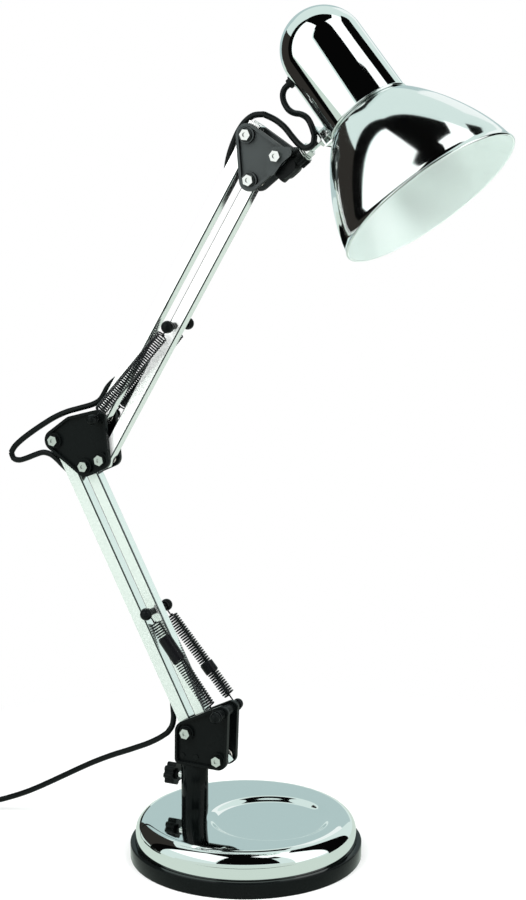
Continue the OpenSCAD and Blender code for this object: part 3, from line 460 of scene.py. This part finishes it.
# %% [markdown]
# ## Rounded edges
# Every other piece is the CAD's own. A weld joins its loose triangles and a narrow bevel rounds each sharp
# edge, so it catches a thin line of light as a moulded or pressed part does. The four bars are left out,
# because they already have rounded corners of their own.

# %% Edge rounding
BARS = ("lower_channel_bar", "lower_square_bar", "upper_channel_bar", "upper_square_bar")
EDGE_WIDTH = 0.3 * mm
rounded = 0
for name, obj in sorted(frame["nodes"].items()):
    if obj.hide_render or name in BARS:
        continue
    weld = obj.modifiers.new("weld", "WELD")
    weld.merge_threshold = 0.00001
    bevel = obj.modifiers.new("edge", "BEVEL")
    bevel.width = EDGE_WIDTH
    bevel.segments = 2
    bevel.limit_method = "ANGLE"
    bevel.angle_limit = math.radians(35)
    bevel.harden_normals = True
    rounded += 1
print("rounded", rounded, "pieces")

# %% [markdown]
# ## Surfaces
# Four small node groups are shared. One gives a fine grain as a bump, one gives smudges that change how
# rough a place is, one finds the upward faces, where dust settles, and one finds the flat front and rear
# faces and the rounded corner strips beside them. They hand over values and normals only, and each material
# joins them to its own colour. With the last group, two materials paint light: painted shade on the side and
# recess walls of the yoke plates, and a painted dark reflection along the bars' rounded edges.

# %% Group helpers
def new_group(name, inputs, outputs):
    group = bpy.data.node_groups.new(name, "ShaderNodeTree")
    for label, default in inputs:
        socket = group.interface.new_socket(label, in_out="INPUT", socket_type="NodeSocketFloat")
        socket.default_value = default
    for label, kind in outputs:
        group.interface.new_socket(label, in_out="OUTPUT", socket_type=kind)
    start = group.nodes.new("NodeGroupInput")
    end = group.nodes.new("NodeGroupOutput")
    return group, start, end

def noise_in(group, scale_socket, detail=6.0):
    coord = group.nodes.new("ShaderNodeTexCoord")
    noise = group.nodes.new("ShaderNodeTexNoise")
    noise.inputs["Detail"].default_value = detail
    group.links.new(coord.outputs["Object"], noise.inputs["Vector"])
    group.links.new(scale_socket, noise.inputs["Scale"])
    return noise

def ranged(tree, low, high):
    node = tree.nodes.new("ShaderNodeMapRange")
    node.inputs["From Min"].default_value = low
    node.inputs["From Max"].default_value = high
    return node

def arithmetic(tree, operation, clamp=False):
    node = tree.nodes.new("ShaderNodeMath")
    node.operation = operation
    node.use_clamp = clamp
    return node

# %% Grain
grain, start, end = new_group("fine_grain", [("Scale", 900.0), ("Strength", 0.1)],
                              [("Normal", "NodeSocketVector")])
noise = noise_in(grain, start.outputs["Scale"])
bump = grain.nodes.new("ShaderNodeBump")
bump.inputs["Distance"].default_value = 0.0002
grain.links.new(noise.outputs["Fac"], bump.inputs["Height"])
grain.links.new(start.outputs["Strength"], bump.inputs["Strength"])
grain.links.new(bump.outputs["Normal"], end.inputs["Normal"])
print("group", grain.name)

# %% Smudges
smudge, start, end = new_group("smudges", [("Scale", 40.0), ("Low", 0.05), ("High", 0.1)],
                               [("Value", "NodeSocketFloat")])
noise = noise_in(smudge, start.outputs["Scale"])
span = ranged(smudge, 0.35, 0.7)
smudge.links.new(noise.outputs["Fac"], span.inputs["Value"])
smudge.links.new(start.outputs["Low"], span.inputs["To Min"])
smudge.links.new(start.outputs["High"], span.inputs["To Max"])
smudge.links.new(span.outputs["Result"], end.inputs["Value"])
print("group", smudge.name)

# %% Dust
dust, start, end = new_group("dust", [("Scale", 160.0), ("Amount", 0.1)], [("Mask", "NodeSocketFloat")])
noise = noise_in(dust, start.outputs["Scale"], 8.0)
shape = dust.nodes.new("ShaderNodeNewGeometry")
split = dust.nodes.new("ShaderNodeSeparateXYZ")
up = arithmetic(dust, "MULTIPLY", clamp=True)
share = arithmetic(dust, "MULTIPLY", clamp=True)
dust.links.new(shape.outputs["Normal"], split.inputs["Vector"])
dust.links.new(split.outputs["Z"], up.inputs[0])
dust.links.new(noise.outputs["Fac"], up.inputs[1])
dust.links.new(up.outputs["Value"], share.inputs[0])
dust.links.new(start.outputs["Amount"], share.inputs[1])
dust.links.new(share.outputs["Value"], end.inputs["Mask"])
print("group", dust.name)

# %% Flat faces and corners
facing, start, end = new_group("front_faces", [("Flat", 1.0), ("Rest", 0.0)],
                               [("Value", "NodeSocketFloat"), ("Corner", "NodeSocketFloat")])
coord = facing.nodes.new("ShaderNodeTexCoord")
split = facing.nodes.new("ShaderNodeSeparateXYZ")
size = arithmetic(facing, "ABSOLUTE")
span = ranged(facing, 0.85, 0.99)
facing.links.new(coord.outputs["Normal"], split.inputs["Vector"])
facing.links.new(split.outputs["Y"], size.inputs[0])
facing.links.new(size.outputs["Value"], span.inputs["Value"])
facing.links.new(start.outputs["Rest"], span.inputs["To Min"])
facing.links.new(start.outputs["Flat"], span.inputs["To Max"])
facing.links.new(span.outputs["Result"], end.inputs["Value"])
# The corner mask marks the bars' rounded edges, where a dark colour is painted as a reflection.
corner = arithmetic(facing, "MULTIPLY")
for k, (low, high) in enumerate(((0.2, 0.45), (0.985, 0.93))):
    ramp = ranged(facing, low, high)
    facing.links.new(size.outputs["Value"], ramp.inputs["Value"])
    facing.links.new(ramp.outputs["Result"], corner.inputs[k])
facing.links.new(corner.outputs["Value"], end.inputs["Corner"])
print("group", facing.name)

# %% Surface builder
def use_group(tree, group, **values):
    node = tree.nodes.new("ShaderNodeGroup")
    node.node_tree = group
    for label, value in values.items():
        node.inputs[label].default_value = value
    return node

def colour_mix(tree, mask, low, high):
    node = tree.nodes.new("ShaderNodeMix")
    node.data_type = "RGBA"
    tree.links.new(mask, node.inputs["Factor"])
    for socket, colour in (("A", low), ("B", high)):
        if isinstance(colour, tuple):
            node.inputs[socket].default_value = (*colour, 1)
        else:
            tree.links.new(colour, node.inputs[socket])
    return node.outputs["Result"]

def surface(name, colour, dusty, metallic, rough, grain_scale, grain_strength, smudge_scale=40.0,
            dust_amount=0.15, specular=0.5, painted_wall_shade=None, flat_metal=None, painted_corner_reflection=None):
    material = bpy.data.materials.new(name)
    material.use_nodes = True
    tree = material.node_tree
    shader = tree.nodes["Principled BSDF"]
    shader.inputs["Metallic"].default_value = metallic
    shader.inputs["Specular IOR Level"].default_value = specular
    settled = use_group(tree, dust, Amount=dust_amount)
    colour_out = colour_mix(tree, settled.outputs["Mask"], colour, dusty)
    # Faces that are not flat front or rear faces take a dark colour here: painted shade on walls and recesses.
    if painted_wall_shade:
        colour_out = colour_mix(tree, use_group(tree, facing).outputs["Value"], painted_wall_shade, colour_out)
    # The rounded corner strips take a dark colour here: a painted reflection line.
    if painted_corner_reflection:
        colour_out = colour_mix(tree, use_group(tree, facing).outputs["Corner"], colour_out, painted_corner_reflection)
    tree.links.new(colour_out, shader.inputs["Base Color"])
    if flat_metal is not None:
        share = use_group(tree, facing, Flat=flat_metal, Rest=metallic)
        tree.links.new(share.outputs["Value"], shader.inputs["Metallic"])
    rubbed = use_group(tree, smudge, Scale=smudge_scale, Low=rough[0], High=rough[1])
    tree.links.new(rubbed.outputs["Value"], shader.inputs["Roughness"])
    fine = use_group(tree, grain, Scale=grain_scale, Strength=grain_strength)
    tree.links.new(fine.outputs["Normal"], shader.inputs["Normal"])
    return material

print("surface builder ready")

# %% Metals
PLATED, PLATED_DUST = (0.86, 0.90, 0.89), (0.6, 0.63, 0.62)
materials = {
    "chrome": surface("mirror_chrome", PLATED, PLATED_DUST, 1.0, (0.02, 0.05), 500, 0.004, 30, 0.04),
    "shade_chrome": surface("spun_chrome", PLATED, PLATED_DUST, 1.0, (0.06, 0.11), 500, 0.004, 30, 0.04),
    # Both bar metals paint their rounded corner strips dark: a painted reflection of the black flags.
    "bar_metal": surface("polished_aluminium", (0.93, 0.97, 0.95), (0.7, 0.73, 0.71), 0.95,
                         (0.06, 0.12), 600, 0.008, 30, 0.04, flat_metal=0.8, painted_corner_reflection=(0.1, 0.12, 0.12)),
    # The upper bars take a whiter, less metallic copy of the bar metal: painted light for their bright faces.
    "bar_metal_lit": surface("aluminium_with_painted_light", (0.97, 0.98, 0.97), (0.8, 0.82, 0.81), 0.95,
                           (0.06, 0.12), 600, 0.008, 30, 0.04, flat_metal=0.3,
                           painted_corner_reflection=(0.06, 0.075, 0.075)),
    "shade_inside": surface("satin_white", (0.84, 0.92, 0.89), (0.74, 0.81, 0.78), 0.35, (0.3, 0.4),
                            700, 0.04, 30, 0.1),
    "nickel_steel": surface("nickel_steel", (0.72, 0.74, 0.72), (0.5, 0.52, 0.5), 1.0, (0.1, 0.2),
                            1200, 0.05),
    "iron": surface("cast_iron", (0.09, 0.088, 0.086), (0.12, 0.11, 0.1), 0.6, (0.5, 0.7), 500, 0.35),
    "brass": surface("brass", (0.78, 0.57, 0.26), (0.5, 0.4, 0.22), 1.0, (0.18, 0.3), 900, 0.05)}
print("metals", len(materials))

# %% Paints and plastics
JET, JET_DUST = (0.003, 0.004, 0.004), (0.016, 0.018, 0.018)
materials.update({
    "black_paint": surface("satin_black_paint", JET, JET_DUST, 0.0, (0.24, 0.36), 1400, 0.05, 60, 0.12,
                           specular=0.1),
    # The yoke plates and cheeks take a greyer copy of the black paint as painted sheen, with painted shade on
    # their side and recess walls.
    "yoke_painted_sheen_shade": surface("black_paint_with_painted_sheen_and_shade", (0.032, 0.038, 0.038), (0.055, 0.06, 0.06), 0.0,
                          (0.35, 0.5), 1500, 0.12, 60, 0.2, specular=0.25, painted_wall_shade=(0.004, 0.005, 0.005)),
    "gloss_black": surface("gloss_black_paint", JET, JET_DUST, 0.0, (0.08, 0.14), 900, 0.01, 60, 0.1,
                           specular=0.1),
    "black_plastic": surface("black_plastic", JET, JET_DUST, 0.0, (0.3, 0.42), 1600, 0.08, 60, 0.12,
                             specular=0.12),
    "rubber": surface("rubber", (0.02, 0.02, 0.02), (0.08, 0.08, 0.08), 0.0, (0.6, 0.75), 1800, 0.15),
    "cable": surface("cable_sheath", (0.002, 0.003, 0.003), JET_DUST, 0.0, (0.18, 0.28), 1500, 0.06,
                     80, 0.12, specular=0.16),
    "sleeve": surface("sleeve", (0.003, 0.003, 0.004), (0.02, 0.02, 0.02), 0.0, (0.3, 0.4), 1500, 0.05,
                      80, 0.1, specular=0.15),
    "spring_wire": surface("blackened_wire", (0.005, 0.006, 0.007), (0.02, 0.02, 0.02), 0.0, (0.2, 0.3),
                           1800, 0.03, 80, 0.1, specular=0.25),
    "nylon": surface("nylon", (0.62, 0.6, 0.54), (0.5, 0.5, 0.46), 0.0, (0.35, 0.5), 900, 0.05),
    "grey_plastic": surface("grey_plastic", (0.3, 0.31, 0.31), (0.35, 0.35, 0.35), 0.0, (0.35, 0.5),
                            1500, 0.08)})
print("materials", len(materials))

# %% Painting the pieces
def paint(obj, key, face_test=None, key_two=None):
    obj.data.materials.clear()
    obj.data.materials.append(materials[key])
    if key_two:
        obj.data.materials.append(materials[key_two])
        for face in obj.data.polygons:
            face.material_index = 1 if face_test(face) else 0

slot_of = {entry["node"]: entry["material_slot"] for entry in frame["record"]["subparts"]}
# The upper bars get the lit copy of the bar metal, and the yoke plates and cheeks get the paint with painted
# sheen and shade.
special = {"post_tube": "gloss_black", "lower_channel_bar": "bar_metal", "lower_square_bar": "bar_metal",
           "upper_channel_bar": "bar_metal_lit", "upper_square_bar": "bar_metal_lit",
           "yoke_plate_front": "yoke_painted_sheen_shade", "yoke_plate_rear": "yoke_painted_sheen_shade", "tilt_cheeks": "yoke_painted_sheen_shade"}
for name, obj in frame["nodes"].items():
    paint(obj, special.get(name, slot_of.get(name, "black_plastic")))
for obj in leads.values():
    paint(obj, "cable")
for obj in springs.values():
    paint(obj, "spring_wire")
for obj in sleeves:
    paint(obj, "sleeve")
paint(cover, "chrome")
paint(ring, "gloss_black")
paint(cap, "chrome")
print("painted", len(frame["nodes"]) + len(leads) + len(springs) + len(sleeves) + 3, "pieces")

# %% Painting the shade
INSIDE_FROM = 0.0204
axis = (HEAD.to_3x3() @ Vector((0, 0, 1))).normalized()
centre = HEAD @ Vector((0, 0, 0))

def faces_inside(face):
    out = face.center - centre
    out = out - out.dot(axis) * axis
    return out.length > INSIDE_FROM and face.normal.dot(out.normalized() + 0.2 * axis) < -0.05

paint(shade, "shade_chrome", faces_inside, "shade_inside")
print("white faces", sum(face.material_index for face in shade.data.polygons))

# %% [markdown]
# ## Studio
# The floor is a pale sheet that takes the lamp's soft shadow and turns plain white farther out, where it
# meets the white background. Chrome shows only what stands round it, so the set is a ring of upright panels:
# a white softbox at the front left and one at the right, black flags between and beside them, and paler
# sheets behind. Level sheets hang above and lie in front, where the rounded tops and the dish look. The panels
# only show in reflections. Two soft lights do the lighting.

# %% Floor
bpy.ops.mesh.primitive_plane_add(size=8, location=(0, 0, 0))
floor = bpy.context.object
floor.name = "floor"
floor_paint = surface("pale_sheet", (0.9, 0.91, 0.9), (0.88, 0.89, 0.88), 0.0, (0.6, 0.8), 300, 0.02,
                      specular=0.1)
tree = floor_paint.node_tree
matt = tree.nodes["Principled BSDF"]
output = tree.nodes["Material Output"]
coord = tree.nodes.new("ShaderNodeTexCoord")
away = tree.nodes.new("ShaderNodeVectorMath")
away.operation = "LENGTH"
far = ranged(tree, 0.12, 0.42)
far.inputs["To Min"].default_value = 0.25
rays = tree.nodes.new("ShaderNodeLightPath")
share = arithmetic(tree, "MULTIPLY")
glow = tree.nodes.new("ShaderNodeEmission")
glow.inputs["Color"].default_value = (1, 1, 1, 1)
mirrored = tree.nodes.new("ShaderNodeEmission")
mirrored.inputs["Color"].default_value = (0.66, 0.76, 0.69, 1)
first = tree.nodes.new("ShaderNodeMixShader")
second = tree.nodes.new("ShaderNodeMixShader")
tree.links.new(coord.outputs["Object"], away.inputs[0])
tree.links.new(away.outputs["Value"], far.inputs["Value"])
tree.links.new(far.outputs["Result"], share.inputs[0])
tree.links.new(rays.outputs["Is Camera Ray"], share.inputs[1])
tree.links.new(share.outputs["Value"], first.inputs[0])
tree.links.new(matt.outputs[0], first.inputs[1])
tree.links.new(glow.outputs[0], first.inputs[2])
tree.links.new(rays.outputs["Is Glossy Ray"], second.inputs[0])
tree.links.new(first.outputs[0], second.inputs[1])
tree.links.new(mirrored.outputs[0], second.inputs[2])
tree.links.new(second.outputs[0], output.inputs["Surface"])
floor.data.materials.append(floor_paint)
print("floor", floor.dimensions[0], "m wide")

# %% World
world = bpy.data.worlds.new("studio")
bpy.context.scene.world = world
world.use_nodes = True
tree = world.node_tree
tree.nodes.clear()
rays = tree.nodes.new("ShaderNodeLightPath")
fill = tree.nodes.new("ShaderNodeBackground")
fill.inputs["Color"].default_value = (0.96, 1.0, 0.99, 1)
fill.inputs["Strength"].default_value = 0.6
shine = tree.nodes.new("ShaderNodeBackground")
shine.inputs["Color"].default_value = (0.74, 0.86, 0.83, 1)
seen = tree.nodes.new("ShaderNodeBackground")
seen.inputs["Color"].default_value = (1, 1, 1, 1)
first = tree.nodes.new("ShaderNodeMixShader")
second = tree.nodes.new("ShaderNodeMixShader")
output = tree.nodes.new("ShaderNodeOutputWorld")
tree.links.new(rays.outputs["Is Glossy Ray"], first.inputs[0])
tree.links.new(fill.outputs[0], first.inputs[1])
tree.links.new(shine.outputs[0], first.inputs[2])
tree.links.new(rays.outputs["Is Camera Ray"], second.inputs[0])
tree.links.new(first.outputs[0], second.inputs[1])
tree.links.new(seen.outputs[0], second.inputs[2])
tree.links.new(second.outputs[0], output.inputs["Surface"])
bpy.context.scene.view_settings.view_transform = "Standard"
print("world", world.name)

# %% Panels
TO_CAMERA = Vector((0.416, -0.909, 0))
TO_RIGHT = Vector((0.909, 0.416, 0))
CENTRE = Vector((0.03, 0, 0))

def toward(side):
    return math.cos(math.radians(side)) * TO_CAMERA + math.sin(math.radians(side)) * TO_RIGHT

def panel_paint(name, colour):
    material = bpy.data.materials.new(name)
    material.use_nodes = True
    shader = material.node_tree.nodes["Principled BSDF"]
    shader.inputs["Base Color"].default_value = (0, 0, 0, 1)
    shader.inputs["Specular IOR Level"].default_value = 0
    shader.inputs["Emission Color"].default_value = (*colour, 1)
    shader.inputs["Emission Strength"].default_value = 1.0
    return material

def panel(name, side_from, side_to, low, high, distance, colour):
    bpy.ops.mesh.primitive_plane_add(size=1)
    obj = bpy.context.object
    obj.name = name
    middle = (side_from + side_to) / 2
    wide = 2 * distance * math.tan(math.radians(side_to - side_from) / 2)
    out = toward(middle)
    obj.location = CENTRE + distance * out + Vector((0, 0, (low + high) / 2))
    obj.scale = (wide, high - low, 1)
    obj.rotation_euler = out.to_track_quat("Z", "Y").to_euler()
    obj.data.materials.append(panel_paint(name, colour))
    obj.visible_camera = False
    obj.visible_diffuse = False
    obj.visible_shadow = False
    return obj

print("camera side", [round(v, 2) for v in toward(0)])

# %% Upright panels
BLACK, WHITE = (0.002, 0.002, 0.002), (1.25, 1.28, 1.27)
upright = [
    ("softbox_left", -90, -33, 0.42, 1.82, 0.67, WHITE),
    ("softbox_right", 48, 88, 0.10, 2.6, 0.75, WHITE),
    ("flag_middle", -31, 34, 0.40, 2.6, 0.9, BLACK),
    ("flag_right", 89, 126, -0.1, 1.9, 0.8, BLACK),
    ("flag_left", -106, -91, 0.0, 2.4, 0.72, BLACK),
    ("flag_left_low", -146, -92, 0.05, 0.92, 0.8, (0.03, 0.027, 0.024)),
    ("front_low", -75, 75, -0.1, 0.9, 2.4, (0.66, 0.76, 0.70)),
    ("strip_behind", 196, 222, 0.0, 0.21, 1.6, BLACK),
    ("card_behind", 150, 168, 1.3, 2.9, 2.5, (0.95, 1.0, 0.99)),
    ("sheet_behind", 152, 214, 0.35, 2.4, 2.6, (0.48, 0.61, 0.61))]
for row in upright:
    panel(*row)
print("upright panels", len(upright))

# %% Level sheets
def flat_sheet(name, side, near, far, wide, height, colour):
    obj = panel(name, -10, 10, 0, 1, 1, colour)
    out = toward(side)
    obj.location = CENTRE + Vector((0, 0, height)) + (near + far) / 2 * out
    obj.rotation_euler = (0, 0, math.atan2(out.y, out.x))
    obj.scale = (far - near, wide, 1)

level = [
    ("ceiling", 0, -0.32, 1.5, 2.8, 2.6, BLACK),
    ("floor_front", 0, 0.35, 1.3, 0.84, 0.004, BLACK),
    ("softbox_top", 50, 0.42, 1.1, 0.7, 2.3, WHITE),
    ("softbox_top_right", 98, 0.45, 1.1, 0.55, 2.3, WHITE),
    ("strip_above", 180, 0.12, 0.25, 0.2, 0.42, BLACK)]
for row in level:
    flat_sheet(*row)
print("level sheets", len(level))

# %% Lights
LIGHT_AIM = 0.3

def soft_light(name, side, height, distance, wide, tall, power):
    data = bpy.data.lights.new(name, "AREA")
    data.shape = "RECTANGLE"
    data.size, data.size_y = wide, tall
    data.energy = power
    obj = bpy.data.objects.new(name, data)
    bpy.context.collection.objects.link(obj)
    h = math.radians(height)
    out = math.cos(h) * toward(side) + Vector((0, 0, math.sin(h)))
    obj.location = CENTRE + Vector((0, 0, LIGHT_AIM)) + distance * out
    obj.rotation_euler = out.to_track_quat("Z", "Y").to_euler()
    obj.visible_camera = False
    obj.visible_glossy = False
    print(name, power, "W")

soft_light("key_left", -55, 40, 1.3, 0.9, 1.0, 20)
soft_light("key_right", 55, 48, 1.3, 0.8, 1.0, 18)
